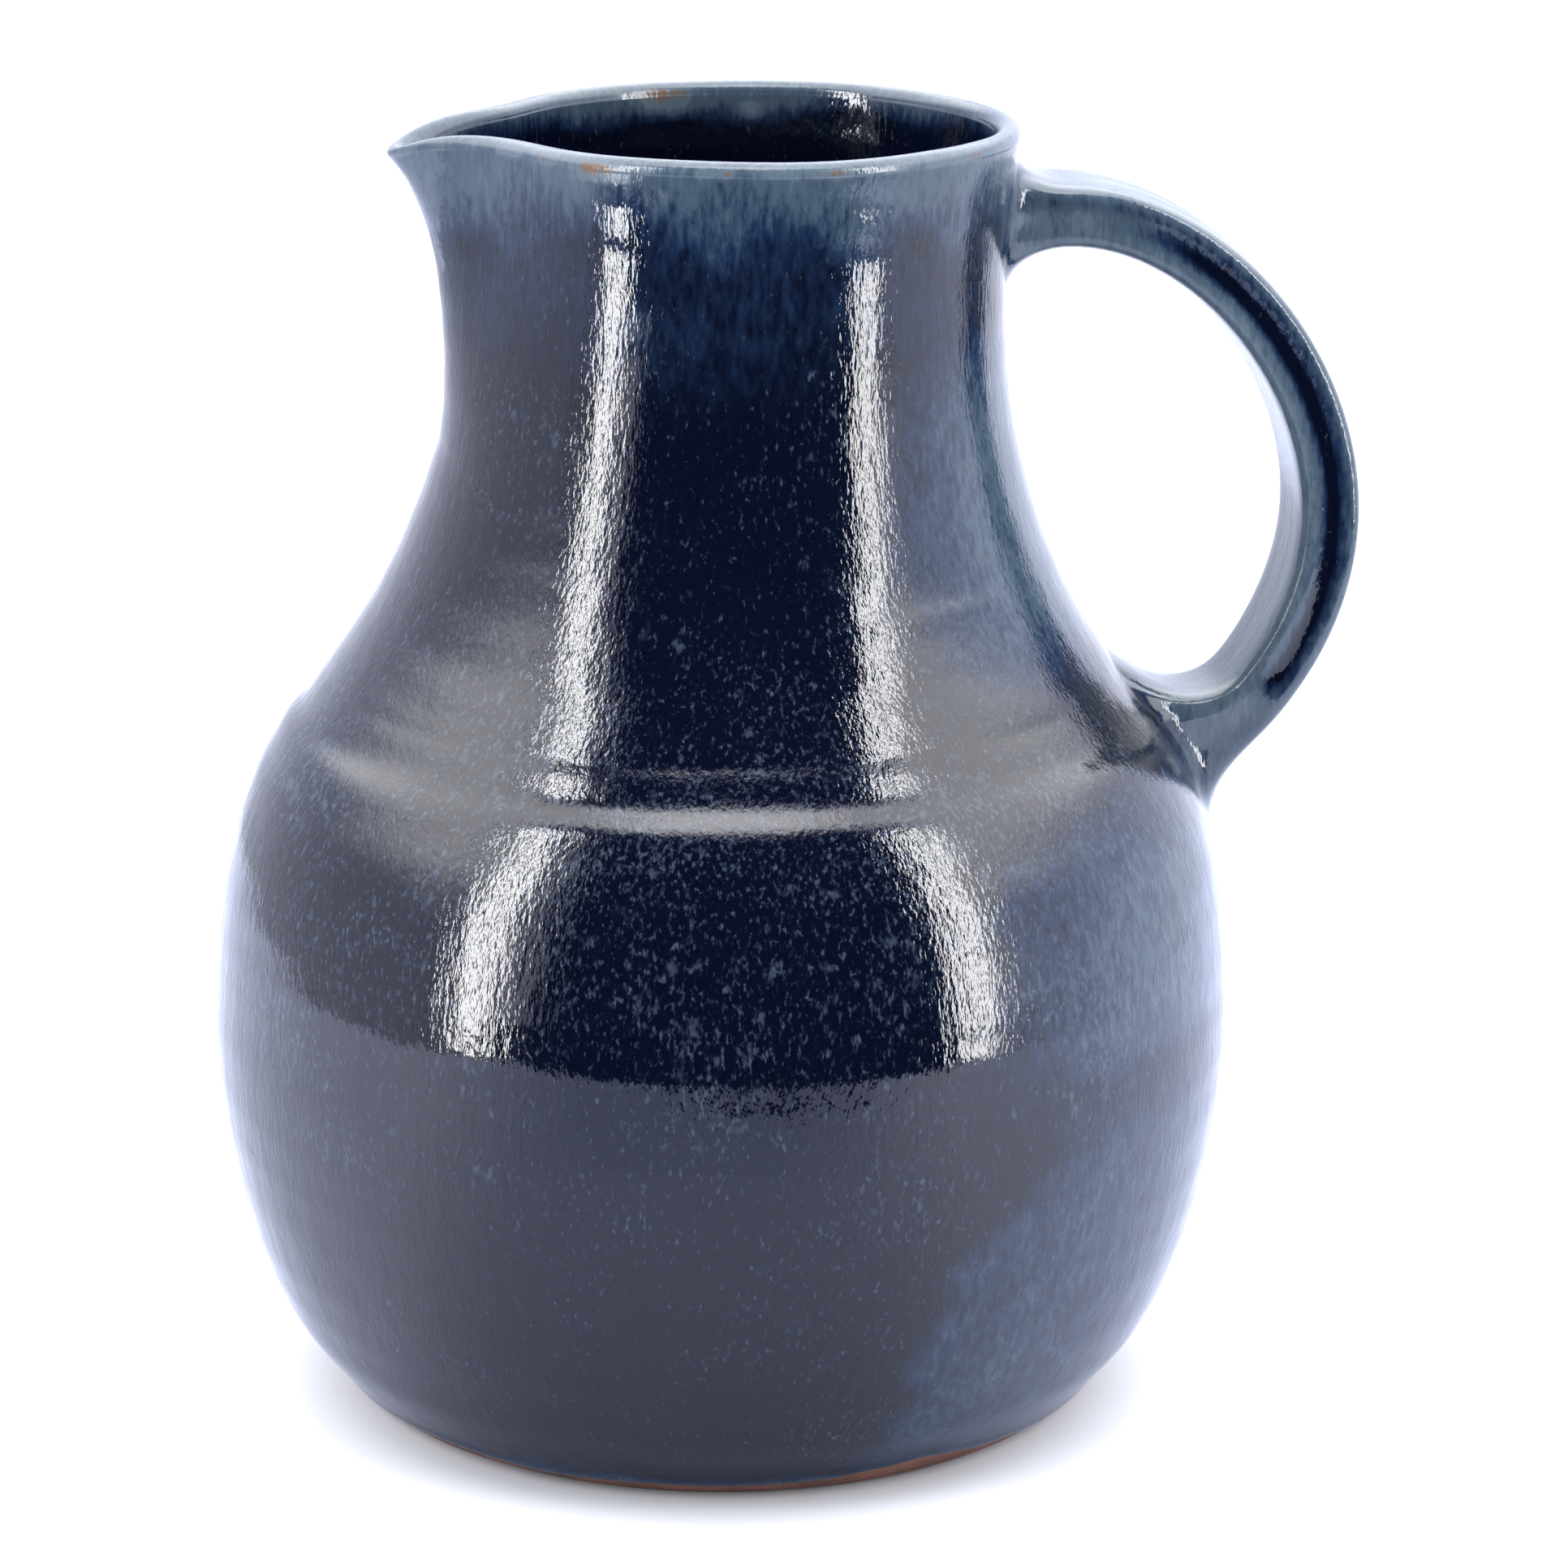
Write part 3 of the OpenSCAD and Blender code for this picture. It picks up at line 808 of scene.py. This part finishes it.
def glaze_material(name, g, grain):
    """A glossy floating-blue glaze over its own relief."""
    relief_height = 0.07 * MM
    material, n, shader = new_material(name)
    colours = {
        "Thick": g.thick, "Middle": g.middle, "Thin": g.thin,
        "Pale": g.pale, "Burnt": g.edge, "Speck": g.speck,
    }
    coat = n.use(glaze_group(), {
        "Thinness": n.node("Attribute", attribute_name="glaze_thinness")["Fac"],
        "Speck Share": n.node("Attribute", attribute_name="glaze_specks")["Fac"],
        **{key: opaque(value) for key, value in colours.items()},
    })
    relief = n.use(relief_group(), {"Grain": grain})["Height"]
    n.feed(shader, {
        "Base Color": coat["Color"], "Roughness": coat["Roughness"], "IOR": 1.5,
        "Normal": n.bump(relief, relief_height),
    })
    material.diffuse_color = opaque(g.middle)
    return material


def clay_material(name, g):
    """Bare fired clay with dark grains and a dry, sandy surface."""
    cloud_shade = (0.62, 0.62, 0.62)
    sand_height = 0.12 * MM
    material, n, shader = new_material(name)
    even = n.place()
    clouds = n.ramp(n.noise(even, 9 * MM, 4.0), 0.35, 0.7)
    base = n.mix(clouds, opaque(g.clay), opaque(g.clay, cloud_shade))
    grains = n.use(spots_group(), {"Vector": even, "Spacing": 0.9 * MM, "Share": 0.4, "Softness": 0.4})
    sand = n.noise(even, 0.5 * MM, 3.0, 0.65)
    n.feed(shader, {
        "Base Color": n.mix(grains["Spots"], base, opaque(g.dark_clay)),
        "Roughness": n.ramp(sand, 0.3, 0.7, 0.7, 0.92),
        "Normal": n.bump(sand, sand_height),
    })
    material.diffuse_color = opaque(g.clay)
    return material


def material_of(name, g):
    """The named material, made the first time it is asked for."""
    grains = {"blue_outside": 0.75 * MM, "blue_inside": 0.9 * MM}
    if name in bpy.data.materials:
        return bpy.data.materials[name]
    return glaze_material(name, g, grains[name]) if name in grains else clay_material(name, g)


# ---- Operators, one for each piece or group of like pieces ----


class Making:
    """An operator that makes its pieces from the sizes in the scene."""

    def execute(self, context):
        self.make(Form(context.scene))
        return {"FINISHED"}


class PITCHER_OT_thrown_body(Making, bpy.types.Operator):
    """Throws the clay wall, its floor and its foot"""

    bl_idname = "pitcher.thrown_body"
    bl_label = "Thrown Body"
    around = 256
    wall_steps = 240
    foot_steps = 26
    wire_depth = 0.12 * MM
    wire_pitch = 5 * MM

    def make(self, form):
        angle = circle(self.around)
        s = np.linspace(0, form.along[-1] - HUB, self.wall_steps)[:, None]
        wall = form.coat(s, angle, 0.0)
        foot_edge = form.wall.foot_r - form.wall.foot_bevel
        r = np.linspace(HUB, foot_edge, self.foot_steps, endpoint=False)[:, None]
        arcs = np.sin(TURN * r * (1 + 0.12 * np.cos(angle)) / self.wire_pitch)
        cut = self.wire_depth * (0.5 + 0.5 * arcs) * smooth(foot_edge - r, 1 * MM, 6 * MM)
        foot = np.stack([r * np.cos(angle), r * np.sin(angle), cut], -1)
        mesh = ringed_mesh("clay_body", np.concatenate([foot, wall]))
        place(mesh, material_of("fired_stoneware", form.glaze), "thrown_body")


class PITCHER_OT_outside_glaze(Making, bpy.types.Operator):
    """Dips the outside in glaze, from the bare foot to the top of the lip"""

    bl_idname = "pitcher.outside_glaze"
    bl_label = "Outside Glaze"
    around = 420
    skin_steps = 330
    back_steps = 60
    edge_steps = (0, 0.1 * MM, 0.25 * MM, 0.5 * MM, 0.8 * MM, 1.2 * MM, 1.7 * MM)
    edge_round = 1.2 * MM
    edge_waver = 0.5 * MM
    wiped_at = math.radians(-66)
    wiped_half = 13
    wiped_rise = 2.6 * MM

    def edge_height(self, angle, line_z):
        """The height of the glaze's lower edge, with the patch that was wiped bare."""
        wiped = bump_at(np.degrees(angle_between(angle, self.wiped_at)), 0, self.wiped_half)
        waver = self.edge_waver * ripple(angle, 0 * angle, 61, most_turns=14)
        ragged = 0.8 + 0.2 * ripple(angle, 0 * angle, 62, most_turns=40)
        return line_z + waver + self.wiped_rise * wiped * ragged

    def make(self, form):
        g = form.glaze
        angle = circle(self.around)[None, :]
        outside = form.line[: form.top_index, 1]
        edge = np.interp(self.edge_height(angle, g.line_z), outside, form.along[: form.top_index])
        top = form.lip_along
        longest = top - edge.max() - LIP_RUN
        steps = np.concatenate([self.edge_steps, np.linspace(2.3 * MM, longest, self.skin_steps)])[:, None]
        share_up = steps / steps[-1]
        s = edge + steps * (1 - share_up) + (top - LIP_RUN - edge) * share_up
        s = np.concatenate([s, top - LIP_STEPS[::-1, None] + 0 * angle])
        run = s - edge
        rounding = np.sqrt(1 - (1 - np.clip(run / self.edge_round, 0, 1)) ** 2)
        out = g.thickness * rounding + g.bead * bump_at(run, 1.6 * MM, 1.0 * MM) * rounding
        pick = spread(1, len(s) - 1, self.back_steps)
        back = form.coat(s[pick], angle, 0.0)
        seam = len(s) - 1
        rings = np.concatenate([form.coat(s, angle, out), back])
        mesh = ringed_mesh("outside_coat", rings, closed=True, sharp=(seam, seam + 1))
        z = form.at(s)[1]
        thin = wall_thinness(form, angle, z, top - s)
        thin = np.maximum(thin, 1.15 * smooth(-run, -0.9 * MM, -0.1 * MM))
        every = np.concatenate([np.arange(len(s)), pick])
        mark(mesh, thin[every], wall_specks(z)[every])
        place(mesh, material_of("blue_outside", g), "outside_glaze")


class PITCHER_OT_inside_glaze(Making, bpy.types.Operator):
    """Swills glaze round the inside, from the top of the lip to the floor"""

    bl_idname = "pitcher.inside_glaze"
    bl_label = "Inside Glaze"
    around = 300
    skin_steps = 200
    back_steps = 50

    def make(self, form):
        angle = circle(self.around)[None, :]
        top, end = form.lip_along, form.along[-1] - HUB
        wall = np.linspace(top + LIP_RUN, end, self.skin_steps)
        s = np.concatenate([top + LIP_STEPS, wall])[:, None]
        skin = form.coat(s, angle, form.glaze.thickness)
        pick = spread(0, len(s) - 1, self.back_steps)
        back = form.coat(s[pick], angle, 0.0)
        seam = len(pick) - 1
        mesh = ringed_mesh("inside_coat", np.concatenate([back, skin]), sharp=(seam, seam + 1))
        depth = s - top + 0 * angle
        ragged = 2.5 * MM * ripple(angle, depth, 71, most_turns=9)
        thin = 0.6 * (1 - smooth(depth + ragged, 2 * MM, 9 * MM))
        thin = thin + 0.2 * (1 - smooth(depth, 0.8 * MM, 4 * MM))
        thin = thin + 0.6 * patches(INSIDE_RUST, angle, depth).sum(0)
        mark(mesh, np.concatenate([thin[pick], thin]), FEW_SPECKS)
        place(mesh, material_of("blue_inside", form.glaze), "inside_glaze")


class PITCHER_OT_handle(Making, bpy.types.Operator):
    """Pulls the clay strap and thumbs its two roots on to the wall"""

    bl_idname = "pitcher.handle"
    bl_label = "Handle Strap and Roots"

    def make(self, form):
        strap = StrapLine(form)
        clay = material_of("fired_stoneware", form.glaze)
        pieces = {
            "handle_strap": strap.strap(0.0),
            "upper_handle_root": strap.upper_root(0.0, 0.0),
            "lower_handle_root": strap.lower_root(0.0, 0.0),
        }
        for name, rings in pieces.items():
            place(ringed_mesh("clay_" + name, rings), clay, name)


class PITCHER_OT_handle_glaze(Making, bpy.types.Operator):
    """Glazes the handle, thin along its edges and pooled down the hollow of its sides"""

    bl_idname = "pitcher.handle_glaze"
    bl_label = "Handle Glaze"
    sunk = 0.1 * MM
    thin_all_over = 0.84
    thinner_corner = 0.12
    thicker_beyond = 0.36
    pool_depth = 0.95

    def make(self, form):
        strap = StrapLine(form)
        thickness = form.glaze.thickness
        skin = strap.whole(thickness, thickness - self.sunk)
        back = strap.whole(0.0, 0.0)[::-1]
        last = len(skin) - 1
        seams = (0, last, last + 1, 2 * last + 1)
        mesh = ringed_mesh("handle_coat", np.concatenate([skin, back]), closed=True, sharp=seams)
        thin = self.thinness(form, strap, skin)
        mark(mesh, np.concatenate([thin, thin[::-1]]), FEW_SPECKS)
        place(mesh, material_of("blue_outside", form.glaze), "handle_glaze")

    def thinness(self, form, strap, skin):
        """Like the wall's thinness where the roots meet the wall, and the strap's own along the strap."""
        across, out = strap.oblong(strap.turns)
        side = smooth(np.abs(across), 0.8, 0.97)
        corner = smooth(np.abs(across), 0.75, 0.9) * smooth(np.abs(out), 0.75, 0.9)
        beyond = side * bump_at(out, 0.5, 0.25)
        section = self.thin_all_over + self.thinner_corner * corner - self.thicker_beyond * beyond
        ring = np.arange(len(skin))[:, None]
        last = len(skin) - 1
        pooled = smooth(ring, strap.root_steps, strap.root_steps + 30)
        pooled = pooled * smooth(last - ring, strap.root_steps - 8, strap.root_steps + 14)
        section = section - self.pool_depth * side * bump_at(out, 0.0, 0.36) * pooled
        on_strap = smooth(ring, 0, 16) * smooth(last - ring, 0, 20)
        x, y, z = skin[..., 0] - form.mouth_x(skin[..., 2]), skin[..., 1], skin[..., 2]
        on_body = wall_thinness(form, np.arctan2(y, x), z, form.wall.rim_z - z)
        return on_body + on_strap * (section - on_body)


class PITCHER_OT_stage(bpy.types.Operator):
    """Sets the floor, the camera and the soft studio light"""

    bl_idname = "pitcher.stage"
    bl_label = "Floor, Camera and Light"
    matt = {"Roughness": 0.9, "Specular IOR Level": 0.1}
    cloud_shade = (0.97, 0.97, 0.97)
    # Painted light and painted shade: the lit and the shaded colours of the reflected table, as factors of
    # the floor's colour.
    table_lit = (0.86, 0.9, 1.05)
    table_dark = (0.42, 0.46, 0.58)
    table_turn = math.radians(7)
    strip_foot = -0.04
    # Two paler panels in the dark room: their left and right edges in degrees, and their glow.
    panels = ((-54, -40, 2.4), (57, 70, 1.6))
    panel_middle = 0.36
    wall_glow = 5.0
    low_wall_glow = (1.5, 2.3)
    ceiling_glow = 9.0
    dim_tint = (0.78, 0.82, 1.0, 1)
    bright_tint = (0.97, 0.97, 1.0, 1)

    def execute(self, context):
        scene = context.scene
        studio = scene.pitcher_studio
        scene.view_settings.view_transform = "Standard"
        self.camera(scene, studio)
        self.floor(scene, studio)
        eye_bearing = math.atan2(studio.eye[1], studio.eye[0])
        self.strips(scene, studio, eye_bearing)
        self.surroundings(scene, eye_bearing)
        return {"FINISHED"}

    def camera(self, scene, studio):
        data = bpy.data.cameras.new("camera")
        data.lens = studio.lens
        data.sensor_width = 36.0
        data.clip_start = 0.01
        camera = bpy.data.objects.new("camera", data)
        pose = Matrix.Translation(Vector(studio.eye))
        for turn, axis in ((-studio.pan, "Z"), (math.pi / 2 - studio.tilt, "X"), (studio.roll, "Z")):
            pose = pose @ Matrix.Rotation(turn, 4, axis)
        camera.matrix_world = pose
        scene.collection.objects.link(camera)
        scene.camera = camera

    def flat(self, scene, name, low, high, z, material, hidden_from):
        """A level plane from one corner to the other, hidden from some kinds of ray."""
        mesh = bpy.data.meshes.new(name)
        corners = [(low[0], low[1], z), (high[0], low[1], z), (high[0], high[1], z), (low[0], high[1], z)]
        mesh.from_pydata(corners, [], [(0, 1, 2, 3)])
        mesh.materials.append(material)
        plane = bpy.data.objects.new(name, mesh)
        scene.collection.objects.link(plane)
        for ray in hidden_from:
            setattr(plane, "visible_" + ray, False)

    def floor(self, scene, studio):
        """A wide pale floor, and under the pot the part of it that its gloss reflects."""
        material, n, shader = new_material("pale_floor")
        clouds = n.noise(n.place(), 0.2)
        base = n.mix(clouds, opaque(studio.floor_colour, self.cloud_shade), opaque(studio.floor_colour))
        n.feed(shader, {"Base Color": base, **self.matt})
        half, t = studio.floor_half, studio.table_half
        self.flat(scene, "studio_floor", (-half, -half), (half, half), -0.2 * MM, material, ("glossy",))
        self.flat(
            scene, "studio_table", (-1.1 * t, -t), (1.1 * t, 1.2 * t), -0.1 * MM, self.table_top(studio),
            ("camera", "diffuse", "shadow", "transmission"),
        )

    def table_top(self, studio):
        """The reflected table, with the room's shade painted into its colour: darker on the camera's side,
        less so near the pot.
        """
        material, n, shader = new_material("shaded_table")
        where = n.node("TexCoord")["Object"]
        shaded = math.atan2(studio.eye[1], studio.eye[0]) - self.table_turn
        way = n.vector("NORMALIZE", where)
        towards = n.vector("DOT_PRODUCT", way, (math.cos(shaded), math.sin(shaded), 0.0))
        away = n.ramp(n.vector("LENGTH", where), 0.1, 0.4, 0.7, 1.0)
        # Painted shade mask: darker towards the camera, less dark near the pot.
        shade = n.times(n.ramp(towards, 0.55, 0.99), away)
        lit, dark = opaque(studio.floor_colour, self.table_lit), opaque(studio.floor_colour, self.table_dark)
        n.feed(shader, {"Base Color": n.mix(shade, lit, dark), **self.matt})
        return material

    def strips(self, scene, studio, eye_bearing):
        """Two upright lights, left and right of the camera."""
        for side in ("left", "right"):
            data = bpy.data.lights.new(side + "_strip", "AREA")
            data.shape = "RECTANGLE"
            data.size, data.size_y = studio.strip_w, studio.strip_h
            data.energy = getattr(studio, side + "_glow") * math.pi * studio.strip_w * studio.strip_h
            light = bpy.data.objects.new(side + "_strip", data)
            turn = eye_bearing + getattr(studio, side + "_bearing")
            outwards = Vector((math.cos(turn), math.sin(turn), 0))
            centre = studio.strip_away * outwards + Vector((0, 0, studio.strip_h / 2 + self.strip_foot))
            facing = (-outwards).to_track_quat("-Z", "Y").to_matrix().to_4x4()
            light.matrix_world = Matrix.Translation(centre) @ facing
            light.visible_camera = False
            scene.collection.objects.link(light)

    def surroundings(self, scene, eye_bearing):
        """Bright walls to the sides and behind, a dark room behind the camera, and a bright ceiling."""
        world = bpy.data.worlds.new("studio")
        scene.world = world
        world.use_nodes = True
        world.node_tree.nodes.clear()
        n = Sketch(world.node_tree)
        where = n.node("TexCoord")["Generated"]

        def towards(*way):
            return n.vector("DOT_PRODUCT", where, way)

        def between(value, function, low, high, *ends):
            """A ramp from one angle's sine or cosine to another's, the angles in degrees."""
            return n.ramp(value, function(math.radians(low)), function(math.radians(high)), *ends)

        front = towards(math.cos(eye_bearing), math.sin(eye_bearing), 0)
        right = towards(-math.sin(eye_bearing), math.cos(eye_bearing), 0)
        height = towards(0, 0, 1)
        level = n.maths("SQRT", n.minus(1.0, n.times(height, height)))
        frontness = n.maths("DIVIDE", front, n.larger(level, 0.02))
        dark_front = between(frontness, math.cos, 72, 50)
        low_walls = n.ramp(right, -0.3, 0.3, *self.low_wall_glow)
        more = n.times(between(height, math.sin, 14, 36), n.minus(self.wall_glow, low_walls))
        walls = n.times(n.plus(low_walls, more), n.minus(1.0, dark_front))
        ceiling = n.times(between(height, math.sin, 55, 76, 0.0, self.ceiling_glow), dark_front)
        glow = n.plus(walls, ceiling)
        bearing_ = n.maths("ARCTAN2", right, front)
        up_and_down = n.maths("ABSOLUTE", n.minus(height, self.panel_middle))
        for low, high, extra in self.panels:
            middle, half = math.radians((low + high) / 2), math.radians((high - low) / 2)
            sideways = n.maths("ABSOLUTE", n.minus(bearing_, middle))
            panel = n.times(n.ramp(sideways, half, 0.5 * half), n.ramp(up_and_down, 0.46, 0.38))
            glow = n.plus(glow, n.times(panel, extra))
        tint = n.mix(n.ramp(glow, 1.5, 5.0), self.dim_tint, self.bright_tint)
        seen = n.node("LightPath")["Is Camera Ray"]
        white = n.node("Background", {"Color": (1, 1, 1, 1), "Strength": 1.0})[0]
        room = n.node("Background", {"Color": tint, "Strength": glow})[0]
        surface = n.node("MixShader", {0: seen, 1: room, 2: white})[0]
        n.node("OutputWorld", {"Surface": surface})


class PITCHER_PT_panel(bpy.types.Panel):
    """The pitcher's pieces and sizes"""

    bl_label = "Stoneware Pitcher"
    bl_idname = "PITCHER_PT_panel"
    bl_space_type = "VIEW_3D"
    bl_region_type = "UI"
    bl_category = "Pitcher"

    def draw(self, context):
        for operator in OPERATORS:
            self.layout.operator(operator.bl_idname)
        for name, group in GROUPS.items():
            box = self.layout.box()
            box.label(text=group.__doc__)
            for key in group.__annotations__:
                box.prop(getattr(context.scene, name), key)


GROUPS = {
    "pitcher_wall": PitcherWall,
    "pitcher_spout": PitcherSpout,
    "pitcher_handle": PitcherHandle,
    "pitcher_glaze": PitcherGlaze,
    "pitcher_studio": PitcherStudio,
}
OPERATORS = (
    PITCHER_OT_thrown_body,
    PITCHER_OT_outside_glaze,
    PITCHER_OT_inside_glaze,
    PITCHER_OT_handle,
    PITCHER_OT_handle_glaze,
    PITCHER_OT_stage,
)


def register():
    for cls in (*GROUPS.values(), *OPERATORS, PITCHER_PT_panel):
        bpy.utils.register_class(cls)
    for name, group in GROUPS.items():
        setattr(bpy.types.Scene, name, PointerProperty(type=group))


def unregister():
    for name in GROUPS:
        delattr(bpy.types.Scene, name)
    for cls in (PITCHER_PT_panel, *reversed(OPERATORS), *reversed(list(GROUPS.values()))):
        bpy.utils.unregister_class(cls)


def main():
    """Makes every piece and the stage."""
    register()
    for operator in OPERATORS:
        getattr(bpy.ops.pitcher, operator.bl_idname.partition(".")[2])()


if __name__ == "__main__":
    main()
